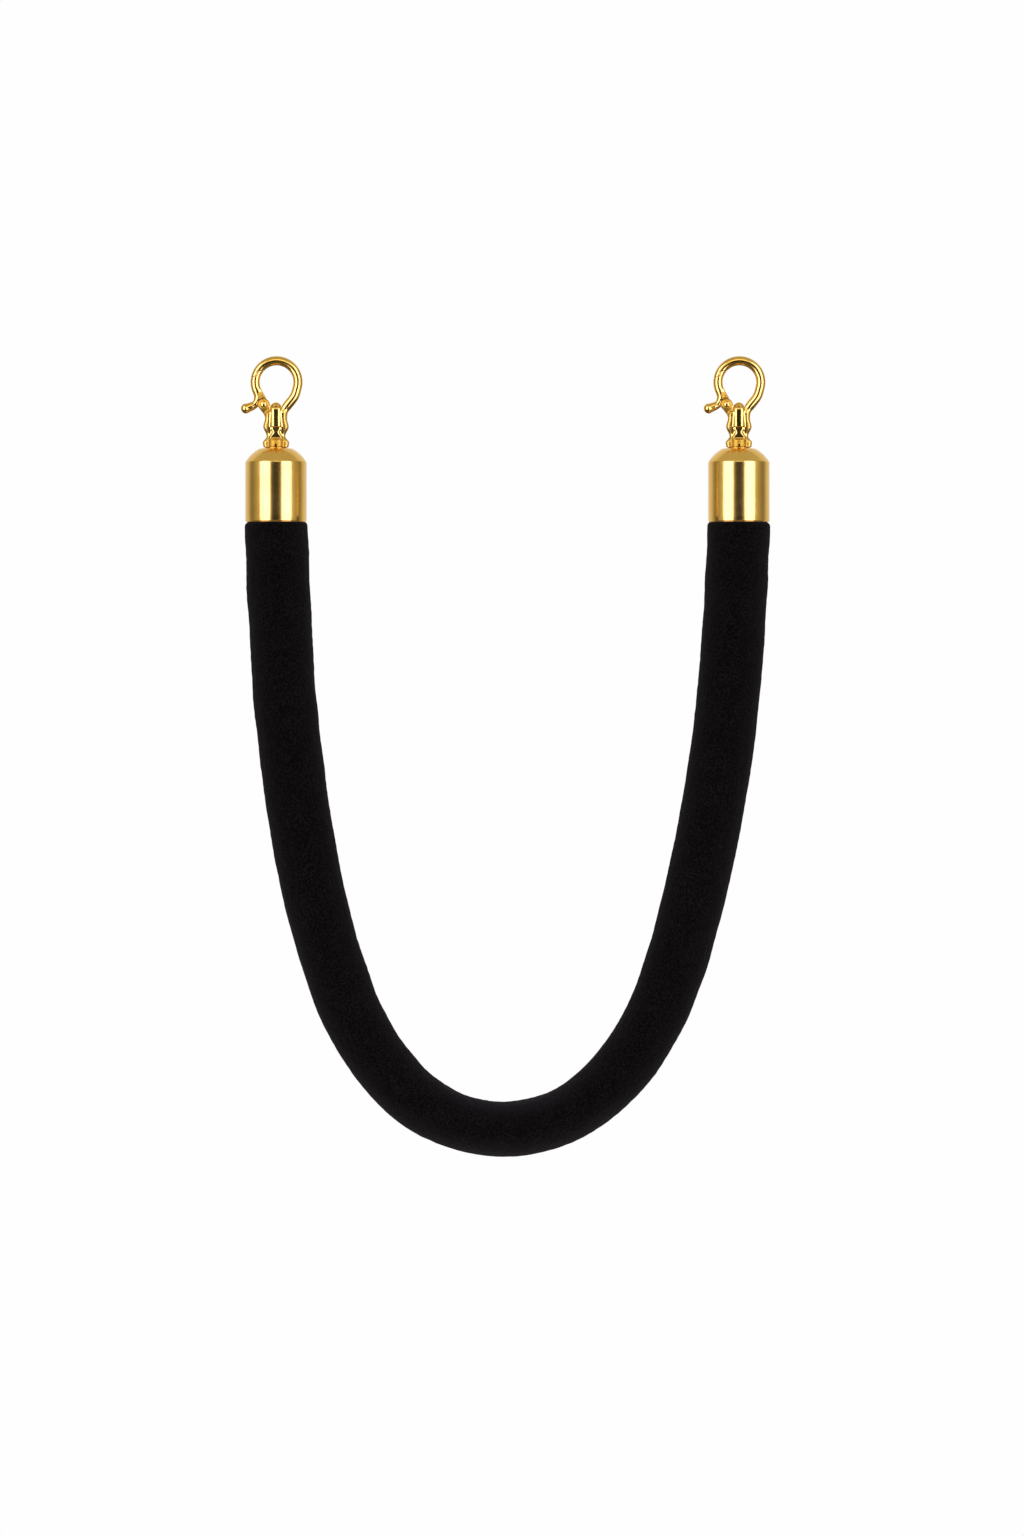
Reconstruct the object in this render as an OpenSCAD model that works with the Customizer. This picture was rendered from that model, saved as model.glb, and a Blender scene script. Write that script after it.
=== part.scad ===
// Velvet barrier rope with a sprung swivel hook at each end, hanging in its loop.
// Millimetres, +Z up, +X towards the right-hand hook, +Y to the back.
// The origin is the point inside the top of the left hook's ring that bears on the post.

/* [Rope] */
// Outside diameter of the velvet on the straight legs
rope_d = 44; // [43.6:0.2:46]
// Thickness of the padded velvet sleeve
sleeve_t = 2; // [1.5:0.25:3]
// How much the half width shrinks in the plane of the bend
bend_flatten = 2.8; // [0:0.2:4]
// How much the half width grows across the bend
bend_spread = 1.6; // [0:0.2:3]
// Diameter of the load-bearing cord inside the foam
tension_cord_d = 6; // [5:0.5:7]

/* [Ferrule] */
// Outside diameter of the ferrule
ferrule_d = 43; // [42.6:0.2:43.4]
// Straight height of the ferrule, from mouth to shoulder
ferrule_h = 43; // [41:0.5:44]
// Wall thickness of the ferrule
ferrule_wall = 1.2; // [0.8:0.1:1.2]
// Radius of the ferrule's domed top
dome_r = 26.2; // [25.8:0.2:26.6]

/* [Hook] */
// Inside diameter of the hook's ring
ring_id = 23.5; // [23:0.1:24]
// Diameter of the ring's round wire
ring_wire_d = 6.5; // [6:0.1:6.6]
// Diameter of the round column that the swivel stud runs in
column_d = 10.6; // [10:0.1:10.8]
// Front-to-back thickness of the hook's side wings and ears
wing_t = 7.6; // [7.4:0.1:8]

/* [Gate] */
// Front-to-back thickness of the gate's tongue between the ears
tongue_t = 3.7; // [3.4:0.1:3.8]
// Diameter of the gate's pivot pin
gate_pin_d = 2.4; // [2.2:0.1:2.6]
// Diameter of the ball at the end of the thumb tab
tab_ball_d = 7.4; // [6.8:0.1:7.6]
// Diameter of the thumb tab's shank
tab_d = 5.6; // [5:0.1:5.8]

/* [Swivel] */
// Diameter of the stud's shank, which the hook turns on
stud_d = 6; // [5.6:0.1:6.2]
// Diameter of the stud's threaded end
stud_thread_d = 5; // [4.6:0.1:5]
// Diameter of the stud's domed head
stud_head_d = 7.8; // [7.6:0.1:8]

/* [Hidden] */
$fn = 72;

brass = [0.80, 0.62, 0.30];
polished_brass = [0.86, 0.68, 0.32];
bronze = [0.72, 0.44, 0.20];
steel = [0.70, 0.71, 0.73];
velvet = [0.06, 0.05, 0.055];
foam = [0.86, 0.80, 0.60];
cotton = [0.90, 0.88, 0.82];
timber = [0.72, 0.55, 0.36];

// How far a cutter runs past the face that it cuts
over = 1;

// Heights of one end, measured from the ring's bearing point
ring_r = (ring_id + ring_wire_d) / 2;
ring_z = -ring_id / 2;
wire_r = ring_wire_d / 2;
column_top = -29.2;
wing_top = -33;
hook_base = -57.4;
play = 0.1;
washer_t = 0.8;
washer_r = 7.5;
seat_z = hook_base - play - washer_t;
mouth_z = -109.8;
shoulder_z = mouth_z + ferrule_h;
seat_t = 2;
running_fit = 0.05;

// Hidden fixings under the ferrule's seat: spring washer, nut, cord anchor, stud end, cord end
inner_seat_z = seat_z - seat_t;
spring_washer_t = 1.2;
spring_washer_r = 4.4;
spring_washer_gap = 0.8;
nut_z = inner_seat_z - spring_washer_t;
nut_h = 4;
nut_flats = 8;
anchor_gap = 0.5;
anchor_top = nut_z - nut_h - anchor_gap;
anchor_foot = -92;
anchor_d = 10;
anchor_thread = 8;
stud_foot = anchor_top - anchor_thread;
cord_top = -78;

// The rope's centreline from ferrule mouth to ferrule mouth, as X and Z
route = [
    [0, -110], [0, -111], [0, -113], [1, -135], [2, -160], [4, -200], [7, -240], [11.5, -281],
    [17.5, -322], [25, -363], [35, -403], [48, -442], [66, -477], [89, -506], [117, -525], [146, -534],
    [176, -533], [204, -524], [229, -506], [250, -482], [267, -452], [281, -415], [292, -375],
    [301, -334], [308.5, -293], [314.5, -251], [318.5, -208], [321.5, -165], [323, -135],
    [324, -113], [324, -111], [324, -110]
];
right_x = route[len(route) - 1][0];
low_z = min([for (p = route) p[1]]);
rope_sides = 12;
inscribed = cos(180 / rope_sides);
bend_reach = 60;
lip_h = 3;
lip_gap = 0.2;

// The sleeve's end inside the ferrule: a gathered neck on the plug, then the plug's full width
neck_top = -70;
neck_foot = -79;
neck_wide = -82;
plug_foot = -95;
plug_neck_r = 14.4;
plug_r = 17.4;
glue_gap = 0.1;
sleeve_room = 0.3;
neck_sleeve_t = 1.6;
tucked_r = ferrule_d / 2 - ferrule_wall - sleeve_room;
tucked_core_r = plug_r / inscribed + glue_gap;
neck_core_r = plug_neck_r / inscribed + glue_gap;
neck_r = neck_core_r + neck_sleeve_t;
band_t = 1.4;
band_h = 5;
band_z = neck_foot + 1.5;

// Two wood screws at the back hold the ferrule to the plug
screw_r = 1.5;
screw_z = -89;
screw_tip = 10;
screw_turns = [60, 120];
screw_head_r = 2.8;
screw_head_h = 1.5;
screw_slot_w = 0.7;
screw_slot_depth = 0.6;

// The hook's column, its side wings and its leg, as heights with half widths, and angles
column_corner = 2;
column_stations = [
    [-43, column_d / 2],
    [-46.5, column_d / 2 - 1],
    [-52, column_d / 2 + 0.3],
    [hook_base, column_d / 2 + 0.3]
];
wing_stations = [[wing_top, 7.7], [-36.5, 7.6], [-43, 9.1], [-50, 6.6], [-54.4, 9.3], [hook_base, 8.2]];
profile_step = 0.5;
leg_angle = -36;
leg_run = 9.5;
leg_toe = [4.6, 0, -36];
nose_angle = 185;
stud_head_h = 3.3;
head_room = 0.45;

// The gate's pivot, its ears, and the slot for the tongue: left of, right of, over and under the pin
gate_pin = [-8.5, 0, -27.4];
ear_r = 4.2;
ear_room = 0.35;
ear_web = [[-11.6, -30.3], [-7.6, -34.6], [-4, -36], [-4, -31], [-5.2, -28]];
boss_r = 3.4;
boss_room = 0.4;
slot_t = tongue_t + 0.3;
slot_left = 8;
slot_right = 4.2;
slot_up = 9;
slot_down = 3.6;
pin_head_r = 2;
pin_head_h = 0.9;

// The gate's arm and tab, and the lap between its tip and the ring's nose, as arcs about the pin
lap_far = 23.6;
lap_near = 20.6;
lap_bearing = 13;
lap_sweep = 50;
lap_gap = 0.15;
arm_start = 120;
arm_end = 218;
knuckle = 0.06;
tongue_lap = 0.1;
tongue_outline = [
    [-13.5, -24.6], [-12.6, -22], [-8.6, -20], [-5.6, -25.6], [-9, -27.4], [-10, -30.4], [-12.2, -29]
];
tab_ball = [-21.2, 0, -30];
tab_root = [-11.5, 0, -25.8];
through = 2 * ring_wire_d;

// The gate's torsion spring on the pin: one leg in the tongue, one in the back ear
spring_wire_d = 0.45;
spring_r = 1.95;
spring_turns = 2;
spring_gap = 0.08;
spring_inset = 0.3;
spring_steps = 20;
spring_sides = 6;
spring_tail = 0.5;
spring_leg = 1.6;
spring_leg_lift = 0.25;
spring_hole_r = spring_wire_d / 2 + 0.1;
spring_hole_skin = 0.6;
pocket_r = 2.6;
pocket_depth = 1.7;

// Puts a piece of one end at the left or the right hook
module at_end(x) {
    translate([x, 0, 0]) children();
}

// Lays a flat outline drawn in X and Z across Y
module across(thick) {
    rotate([90, 0, 0]) linear_extrude(thick, center = true) children();
}

// A round bar between two points
module bar(a, b, r) {
    run = b - a;
    length = norm(run);
    tilt = acos(run[2] / length);
    heading = atan2(run[1], run[0]);
    translate(a) rotate([0, tilt, heading]) cylinder(r = r, h = length);
}

// A stretch of the ring's wire between two angles, counted from +X towards +Z
module ring_wire(from, to) {
    translate([0, 0, ring_z])
        rotate([90, 0, 0])
            rotate([0, 0, from])
                rotate_extrude(angle = to - from) translate([ring_r, 0]) circle(r = wire_r);
}

// A block over the gate's side of the ring
module left_half() {
    translate([-2 * ring_id, -through / 2, -2 * ring_id]) cube([2 * ring_id, through, 3 * ring_id]);
}

// A disc about the gate's pivot, as thick as asked
module pivot_disc(r, thick) {
    translate(gate_pin) rotate([90, 0, 0]) cylinder(r = r, h = thick, center = true);
}

// A low dome of a given rim radius and height, standing on the XY plane
module dome(r, h) {
    ball_r = (r * r + h * h) / (2 * h);
    intersection() {
        cylinder(r = r, h = h);
        translate([0, 0, h - ball_r]) sphere(r = ball_r);
    }
}

// The nose's tooth, outside the gate's tip and between two radii from the pivot
module lap_tooth(gap) {
    reach = 2 * lap_far;
    from = 90 + lap_bearing - gap;
    to = from + lap_sweep;
    difference() {
        intersection() {
            pivot_disc(lap_far + gap, through);
            translate(gate_pin)
                across(through)
                    polygon([[0, 0], reach * [cos(from), sin(from)], reach * [cos(to), sin(to)]]);
        }
        pivot_disc(lap_near - gap, through + over);
    }
}

// Half width at height z, eased between the [height, half width] stations of a list
function ease(t) = (1 - cos(180 * t)) / 2;
function eased(list, z, i = 0) =
    i >= len(list) - 2 || z >= list[i + 1][0]
        ? list[i][1] + (list[i + 1][1] - list[i][1])
            * ease(min(1, max(0, (z - list[i][0]) / (list[i + 1][0] - list[i][0]))))
        : eased(list, z, i + 1);

function profile(list, top) = [for (z = [top : -profile_step : hook_base]) [eased(list, z), z]];

// Bulge, waist and bead of the flat wings at the column's sides
module wings() {
    half = concat([[0, wing_top]], profile(wing_stations, wing_top), [[0, hook_base]]);
    across(wing_t) {
        polygon(half);
        mirror([1, 0]) polygon(half);
    }
}

// The round column with its rounded top edge and shallow groove
module column() {
    corner_x = column_d / 2 - column_corner;
    corner_z = column_top - column_corner;
    top_arc = [for (a = [90 : -15 : 0]) [corner_x, corner_z] + column_corner * [cos(a), sin(a)]];
    side = profile(column_stations, corner_z);
    rotate_extrude() polygon(concat([[0, column_top]], top_arc, side, [[0, hook_base]]));
}

// Ears that carry the gate's pin, running down into the left wing
module ears() {
    across(wing_t) {
        translate([gate_pin[0], gate_pin[2]]) circle(r = ear_r);
        polygon(ear_web);
    }
}

// The slot between the ears: round about the boss, and open above it and to the left
module tongue_slot() {
    pivot_disc(boss_r + boss_room, slot_t);
    translate(gate_pin)
        across(slot_t)
            polygon([
                [-slot_left, slot_up], [-slot_left, -slot_down], [0, -slot_down],
                [0, 0], [slot_right, 0], [slot_right, slot_up]
            ]);
}

// The wire's run from the ring down into the column's side, with a ball over each joint.
// The first bar starts just clear of the ring's end, inside the ball.
module hook_leg() {
    start = [ring_r * cos(leg_angle), 0, ring_z + ring_r * sin(leg_angle)];
    down = [sin(leg_angle), 0, -cos(leg_angle)];
    foot = start + leg_run * down;
    translate(start) sphere(r = wire_r + knuckle);
    bar(start + knuckle * down, foot, wire_r);
    translate(foot) sphere(r = wire_r + knuckle);
    bar(foot, leg_toe, wire_r);
}

// Ring, nose, leg, column, wings and ears in one casting, bored for the stud and the pin
module hook_body() {
    bore_h = column_top - hook_base + 2 * over;
    color(polished_brass) difference() {
        union() {
            difference() {
                ring_wire(leg_angle, nose_angle);
                intersection() {
                    left_half();
                    difference() {
                        pivot_disc(lap_far, through);
                        lap_tooth(0);
                    }
                }
            }
            hook_leg();
            wings();
            column();
            ears();
        }
        translate([0, 0, hook_base - over]) cylinder(d = stud_d + 2 * running_fit, h = bore_h);
        translate([0, 0, column_top]) cylinder(d = stud_head_d + 2 * head_room, h = 2 * stud_head_h);
        pivot_disc(gate_pin_d / 2, through);
        tongue_slot();
        spring_hole();
    }
}

// Arm, tip and thumb tab in one piece, on a flat tongue that turns on the pin
module gate_lever() {
    bore_r = gate_pin_d / 2 + running_fit;
    arm_foot = [ring_r * cos(arm_end), 0, ring_z + ring_r * sin(arm_end)];
    color(polished_brass) difference() {
        union() {
            difference() {
                union() {
                    difference() {
                        intersection() {
                            ring_wire(arm_start, arm_end);
                            pivot_disc(lap_far - lap_gap, through);
                        }
                        lap_tooth(lap_gap);
                    }
                    bar(arm_foot, tab_root, tab_d / 2);
                    translate(tab_root) sphere(r = tab_d / 2 + knuckle);
                    bar(tab_root, tab_ball, tab_d / 2);
                    translate(tab_ball) sphere(d = tab_ball_d);
                }
                pivot_disc(ear_r + ear_room, through);
            }
            intersection() {
                pivot_disc(ear_r + ear_room + tongue_lap, tongue_t);
                tongue();
            }
        }
        pivot_disc(bore_r, through);
        spring_pocket();
    }
}

// The flat tongue that joins the arm and the tab to the boss on the pin
module tongue() {
    pivot_disc(boss_r, tongue_t);
    across(tongue_t) polygon(tongue_outline);
}

// The round pocket for the spring's coil in the tongue's back face
module spring_pocket() {
    translate(gate_pin + [0, tongue_t / 2, 0]) rotate([90, 0, 0]) cylinder(r = pocket_r, h = pocket_depth);
}

// The blind hole for the spring's leg in the back ear
module spring_hole() {
    translate(gate_pin + [spring_r, 0, spring_leg_lift])
        rotate([-90, 0, 0])
            cylinder(r = spring_hole_r, h = wing_t / 2 - spring_hole_skin);
}

function coil_point(i) =
    let (
        turn = 360 * i / spring_steps,
        start = tongue_t / 2 - pocket_depth + spring_inset,
        rise = (spring_wire_d + spring_gap) * i / spring_steps
    )
    gate_pin + [spring_r * cos(turn), start + rise, spring_r * sin(turn)];

// The spring's coil with a short tail at the front and its leg at the back
module gate_spring() {
    last = spring_turns * spring_steps;
    coil = [for (i = [0 : last]) coil_point(i)];
    end = coil[last];
    points = concat(
        [coil[0] - [0, 0, spring_tail]],
        coil,
        [end + [0, spring_inset, spring_leg_lift], end + [0, spring_leg, spring_leg_lift]]
    );
    color(steel) swept(points, [for (p = points) [1, 1] * spring_wire_d / 2], spring_sides);
}

// The pin, riveted to a low head at each end
module gate_pin_rivet() {
    color(brass) {
        pivot_disc(gate_pin_d / 2, wing_t);
        for (side = [0, 180])
            translate(gate_pin) rotate([90, 0, side]) translate([0, 0, wing_t / 2])
                dome(pin_head_r, pin_head_h);
    }
}

// The stud that the hook turns on: domed head, smooth shank, threaded end
module swivel_stud() {
    head_z = column_top + play;
    color(brass) {
        translate([0, 0, head_z]) dome(stud_head_d / 2, stud_head_h);
        translate([0, 0, seat_z]) cylinder(d = stud_d, h = head_z - seat_z);
        translate([0, 0, stud_foot]) cylinder(d = stud_thread_d, h = seat_z - stud_foot);
    }
}

module swivel_washer() {
    color(bronze) difference() {
        translate([0, 0, seat_z]) cylinder(r = washer_r, h = washer_t);
        translate([0, 0, seat_z - over]) cylinder(d = stud_d + 2 * play, h = washer_t + 2 * over);
    }
}

// A thin-walled cup, mouth down: straight side, crisp shoulder, domed top with a flat seat
module ferrule() {
    outer_r = ferrule_d / 2;
    inner_r = outer_r - ferrule_wall;
    dome_z = shoulder_z - sqrt(dome_r * dome_r - outer_r * outer_r);
    color(brass) difference() {
        union() {
            translate([0, 0, mouth_z]) cylinder(r = outer_r, h = ferrule_h);
            intersection() {
                translate([0, 0, shoulder_z]) cylinder(r = outer_r, h = seat_z - shoulder_z);
                translate([0, 0, dome_z]) sphere(r = dome_r);
            }
        }
        translate([0, 0, mouth_z - over]) cylinder(r = inner_r, h = ferrule_h + over);
        intersection() {
            translate([0, 0, shoulder_z - over])
                cylinder(r = inner_r, h = inner_seat_z - shoulder_z + over);
            translate([0, 0, dome_z]) sphere(r = dome_r - ferrule_wall);
        }
        translate([0, 0, inner_seat_z - over]) cylinder(d = stud_thread_d, h = seat_t + 2 * over);
        screw_shanks(screw_r + play);
    }
}

// Split spring washer, cut through on one side
module spring_washer() {
    cut_h = spring_washer_t + 2 * over;
    color(steel) difference() {
        translate([0, 0, nut_z]) cylinder(r = spring_washer_r, h = spring_washer_t);
        translate([0, 0, nut_z - over]) cylinder(d = stud_thread_d + 2 * play, h = cut_h);
        translate([0, -spring_washer_gap / 2, nut_z - over])
            cube([spring_washer_r + over, spring_washer_gap, cut_h]);
    }
}

module stud_nut() {
    color(steel) difference() {
        translate([0, 0, nut_z - nut_h]) cylinder(d = nut_flats / cos(30), h = nut_h, $fn = 6);
        translate([0, 0, nut_z - nut_h - over]) cylinder(d = stud_thread_d, h = nut_h + 2 * over);
    }
}

// Screwed on the stud's end, and crimped on the tension cord below it
module cord_anchor() {
    color(steel) difference() {
        translate([0, 0, anchor_foot]) cylinder(d = anchor_d, h = anchor_top - anchor_foot);
        translate([0, 0, stud_foot]) cylinder(d = stud_thread_d, h = anchor_top - stud_foot + over);
        translate([0, 0, anchor_foot - over])
            cylinder(d = tension_cord_d, h = cord_top - anchor_foot + over);
    }
}

// The turned plug that the sleeve is bound and glued to
module end_plug() {
    bore_h = neck_top - plug_foot + 3 * over;
    color(timber) difference() {
        union() {
            translate([0, 0, plug_foot]) cylinder(r = plug_r, h = neck_wide - plug_foot);
            translate([0, 0, neck_wide]) cylinder(r1 = plug_r, r2 = plug_neck_r, h = neck_foot - neck_wide);
            translate([0, 0, neck_foot]) cylinder(r = plug_neck_r, h = neck_top + over - neck_foot);
        }
        translate([0, 0, plug_foot - over]) cylinder(d = anchor_d + 2 * play, h = bore_h);
        screw_shanks(screw_r);
    }
}

// The band that clamps the sleeve's gathered end on the plug's neck
module sleeve_binding() {
    color(steel) translate([0, 0, band_z]) difference() {
        cylinder(r = neck_r + play + band_t, h = band_h);
        translate([0, 0, -over]) cylinder(r = neck_r + play, h = band_h + 2 * over);
    }
}

module screw_shanks(r) {
    for (turn = screw_turns)
        rotate([0, 90, turn]) translate([-screw_z, 0, screw_tip])
            cylinder(r = r, h = ferrule_d / 2 - screw_tip);
}

module ferrule_screws() {
    color(brass) {
        screw_shanks(screw_r);
        for (turn = screw_turns)
            rotate([0, 90, turn]) translate([-screw_z, 0, ferrule_d / 2]) difference() {
                dome(screw_head_r, screw_head_h);
                translate([-screw_head_r - over, -screw_slot_w / 2, screw_head_h - screw_slot_depth])
                    cube([2 * (screw_head_r + over), screw_slot_w, over]);
            }
    }
}

// Sweeps an oval along points in space. sizes holds each ring's half width in the plane
// of the bend and its half width across it; the rings stand square to the run.
function flat_dir(points, i) =
    let (
        before = points[max(0, i - 1)],
        after = points[min(len(points) - 1, i + 1)]
    )
    (after - before) / norm(after - before);
function side_of(dir) = abs(dir[1]) > 0.9 ? [1, 0, 0] : [dir[2], 0, -dir[0]] / norm([dir[2], 0, -dir[0]]);
function ring_points(points, sizes, i, sides) =
    let (
        dir = flat_dir(points, i),
        side = side_of(dir),
        across_dir = cross(dir, side)
    )
    [for (k = [0 : sides - 1])
        let (a = 360 * k / sides)
        points[i] + sizes[i][0] * cos(a) * side + sizes[i][1] * sin(a) * across_dir];
function all_rings(points, sizes, sides) =
    [for (i = [0 : len(points) - 1]) each ring_points(points, sizes, i, sides)];
function skin(first, rings, sides, flip) =
    [for (i = [0 : rings - 2], k = [0 : sides - 1], half = [0, 1])
        let (
            a = first + i * sides + k,
            b = first + i * sides + (k + 1) % sides,
            face = half == 0 ? [a, b, b + sides] : [a, b + sides, a + sides]
        )
        flip ? [face[2], face[1], face[0]] : face];

module swept(points, sizes, sides) {
    last = (len(points) - 1) * sides;
    polyhedron(
        points = all_rings(points, sizes, sides),
        faces = concat(
            skin(0, len(points), sides, true),
            [[for (k = [0 : sides - 1]) k]],
            [[for (k = [sides - 1 : -1 : 0]) last + k]]
        )
    );
}

// The same with a hollow along it, its own sizes in hollow_sizes
module swept_hollow(points, sizes, hollow_sizes, sides) {
    rings = len(points);
    inner = rings * sides;
    last = (rings - 1) * sides;
    polyhedron(
        points = concat(all_rings(points, sizes, sides), all_rings(points, hollow_sizes, sides)),
        faces = concat(
            skin(0, rings, sides, true),
            skin(inner, rings, sides, false),
            [for (k = [0 : sides - 1], half = [0, 1])
                let (n = (k + 1) % sides)
                half == 0 ? [k, n, inner + n] : [k, inner + n, inner + k]],
            [for (k = [0 : sides - 1], half = [0, 1])
                let (n = (k + 1) % sides)
                half == 0
                    ? [last + n, last + k, inner + last + k]
                    : [last + n, inner + last + k, inner + last + n]]
        )
    );
}

function raised(levels, x) = [for (z = levels) [x, z]];
function in_space(list) = [for (p = list) [p[0], 0, p[1]]];
function backwards(list) = [for (i = [len(list) - 1 : -1 : 0]) list[i]];

// Half widths of the rope: a rounded lip under the mouth, and flatter where it bends
function lip(z) = let (t = min(1, max(0, (mouth_z - lip_gap - z) / lip_h))) sqrt(1 - (1 - t) * (1 - t));
function bend(z) = exp((low_z - z) / bend_reach);
function outer_size(z) =
    let (r = z >= neck_foot ? neck_r : tucked_r + (rope_d / 2 - tucked_r) * lip(z))
    z > mouth_z ? [r, r] : [r - bend_flatten * bend(z), r + bend_spread * bend(z)];
function core_size(z) =
    z >= neck_foot
        ? [neck_core_r, neck_core_r]
        : z > mouth_z
            ? [tucked_core_r, tucked_core_r]
            : outer_size(z) - [1, 1] * (tucked_r - tucked_core_r
                + (sleeve_t - tucked_r + tucked_core_r) * lip(z));

sleeve_levels = [neck_top, neck_foot, neck_wide, plug_foot];
sleeve_route = concat(raised(sleeve_levels, 0), route, raised(backwards(sleeve_levels), right_x));
core_route = concat([[0, plug_foot]], route, [[right_x, plug_foot]]);
cord_route = concat([[0, cord_top], [0, plug_foot]], route, [[right_x, plug_foot], [right_x, cord_top]]);
cord_r = tension_cord_d / 2;

// The padded velvet tube, with its ends tucked into the ferrules
module velvet_sleeve() {
    color(velvet) swept_hollow(
        in_space(sleeve_route),
        [for (p = sleeve_route) outer_size(p[1])],
        [for (p = sleeve_route) core_size(p[1])],
        rope_sides
    );
}

// The foam that fills the sleeve from plug to plug
module foam_core() {
    color(foam) swept_hollow(
        in_space(core_route),
        [for (p = core_route) core_size(p[1])],
        [for (p = core_route) [cord_r, cord_r]],
        rope_sides
    );
}

// The braided cord that carries the load from anchor to anchor
module tension_cord() {
    color(cotton) swept(in_space(cord_route), [for (p = cord_route) [cord_r, cord_r]], rope_sides);
}

velvet_sleeve();
foam_core();
tension_cord();

ferrule();  // left_ferrule
end_plug();  // left_end_plug
sleeve_binding();  // left_sleeve_binding
ferrule_screws();  // left_ferrule_screws
cord_anchor();  // left_cord_anchor
stud_nut();  // left_stud_nut
spring_washer();  // left_spring_washer
swivel_washer();  // left_swivel_washer
swivel_stud();  // left_swivel_stud
hook_body();  // left_hook_body
gate_lever();  // left_gate_lever
gate_pin_rivet();  // left_gate_pin
gate_spring();  // left_gate_spring

at_end(right_x) ferrule();  // right_ferrule
at_end(right_x) end_plug();  // right_end_plug
at_end(right_x) sleeve_binding();  // right_sleeve_binding
at_end(right_x) ferrule_screws();  // right_ferrule_screws
at_end(right_x) cord_anchor();  // right_cord_anchor
at_end(right_x) stud_nut();  // right_stud_nut
at_end(right_x) spring_washer();  // right_spring_washer
at_end(right_x) swivel_washer();  // right_swivel_washer
at_end(right_x) swivel_stud();  // right_swivel_stud
at_end(right_x) hook_body();  // right_hook_body
at_end(right_x) gate_lever();  // right_gate_lever
at_end(right_x) gate_pin_rivet();  // right_gate_pin
at_end(right_x) gate_spring();  // right_gate_spring
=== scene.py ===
"""A velvet barrier rope with a sprung swivel hook at each end, hanging in its loop.

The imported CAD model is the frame. Shapes are worked out in millimetres, as in the CAD,
with the left hook's axis at X = 0, and become metres when their mesh is made.
"""

import math

import bpy
import numpy as np
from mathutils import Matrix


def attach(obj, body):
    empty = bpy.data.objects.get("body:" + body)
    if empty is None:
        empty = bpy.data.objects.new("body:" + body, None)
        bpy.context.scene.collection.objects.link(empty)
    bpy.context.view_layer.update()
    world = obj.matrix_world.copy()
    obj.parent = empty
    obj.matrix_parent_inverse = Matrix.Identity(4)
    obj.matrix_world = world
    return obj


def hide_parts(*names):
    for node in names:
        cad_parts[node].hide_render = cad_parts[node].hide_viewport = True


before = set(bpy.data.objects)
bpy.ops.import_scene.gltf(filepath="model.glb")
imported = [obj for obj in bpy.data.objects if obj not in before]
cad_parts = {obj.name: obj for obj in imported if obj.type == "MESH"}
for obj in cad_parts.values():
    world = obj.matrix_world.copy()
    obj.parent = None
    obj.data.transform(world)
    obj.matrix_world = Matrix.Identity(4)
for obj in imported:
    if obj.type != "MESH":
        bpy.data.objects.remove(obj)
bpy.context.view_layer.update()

MM = 0.001
TURN = 2 * math.pi
END_SIDES = {"left": 0.0, "right": 324.0}  # each end's X, in millimetres

# Camera, lamps, floor and studio, in metres. The middle of the loop is what the lamps aim at.
LOOP_MIDDLE = np.array([0.162, 0.0, -0.25])
CAMERA_X = 0.1652
CAMERA_Z = -0.2818
CAMERA_DISTANCE = 5.0
VIEW_HEIGHT = 1.0752
LAMP_DISTANCE = 6.0
FLOOR_LEVEL = -1.05
FLOOR_R = 1.25
COOL = (0.92, 1.0, 2.15)  # keeps the brass's brightest bands cream
NEUTRAL = (1.0, 1.0, 1.05)
# Brightness of the studio's walls by azimuth, 0 at the camera's side and 180 behind the loop
WALL_LEVELS = [
    (0, 0.01), (15, 0.03), (20, 0.3), (62, 0.6), (74, 0.5), (88, 0.34), (103, 0.24),
    (113, 0.45), (124, 0.72), (150, 0.85), (180, 0.9),
]
UPPER_WALL_LEVEL = 0.80
CEILING_LEVEL = 0.56
STUDIO_FLOOR_LEVEL = 0.13
BACKDROP_LEVEL = 0.99

# The rope's centreline from ferrule mouth to ferrule mouth, as X and Z in metres
ROUTE = [
    (0, -0.110), (0.001, -0.135), (0.002, -0.160), (0.004, -0.200), (0.007, -0.240),
    (0.0115, -0.281), (0.0175, -0.322), (0.025, -0.363), (0.035, -0.403), (0.048, -0.442),
    (0.066, -0.477), (0.089, -0.506), (0.117, -0.525), (0.146, -0.534), (0.176, -0.533),
    (0.204, -0.524), (0.229, -0.506), (0.250, -0.482), (0.267, -0.452), (0.281, -0.415),
    (0.292, -0.375), (0.301, -0.334), (0.3085, -0.293), (0.3145, -0.251), (0.3185, -0.208),
    (0.3215, -0.165), (0.323, -0.135), (0.324, -0.110),
]
ROPE_D = 44.0
SLEEVE_T = 1.9
# Inside the ferrule the sleeve is narrower, and its end is bound round the plug's neck
TUCKED_R = 20.0
TUCKED_TOP = -82.0
BOUND_R = 16.6
BOUND_FOOT = -79.0
LIP_H = 2.6
# The bend is thinner in its own plane and wider across it, which fades as the rope rises
LOW_Z = -534.0
BEND_REACH = 60.0
BEND_FLATTEN = 2.8
BEND_SPREAD = 1.6
ROPE_SIDES = 128

# Levels of one end, as heights over the point where its ring bears on a post
COLUMN_TOP = -29.2
COLUMN_FOOT = -43.2
HOOK_BASE = -57.4
SEAT_Z = -58.3
SHOULDER_Z = -67.9
NECK_TOP = -70.0
STUD_FOOT = -74.0
MOUTH_Z = -109.8

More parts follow.
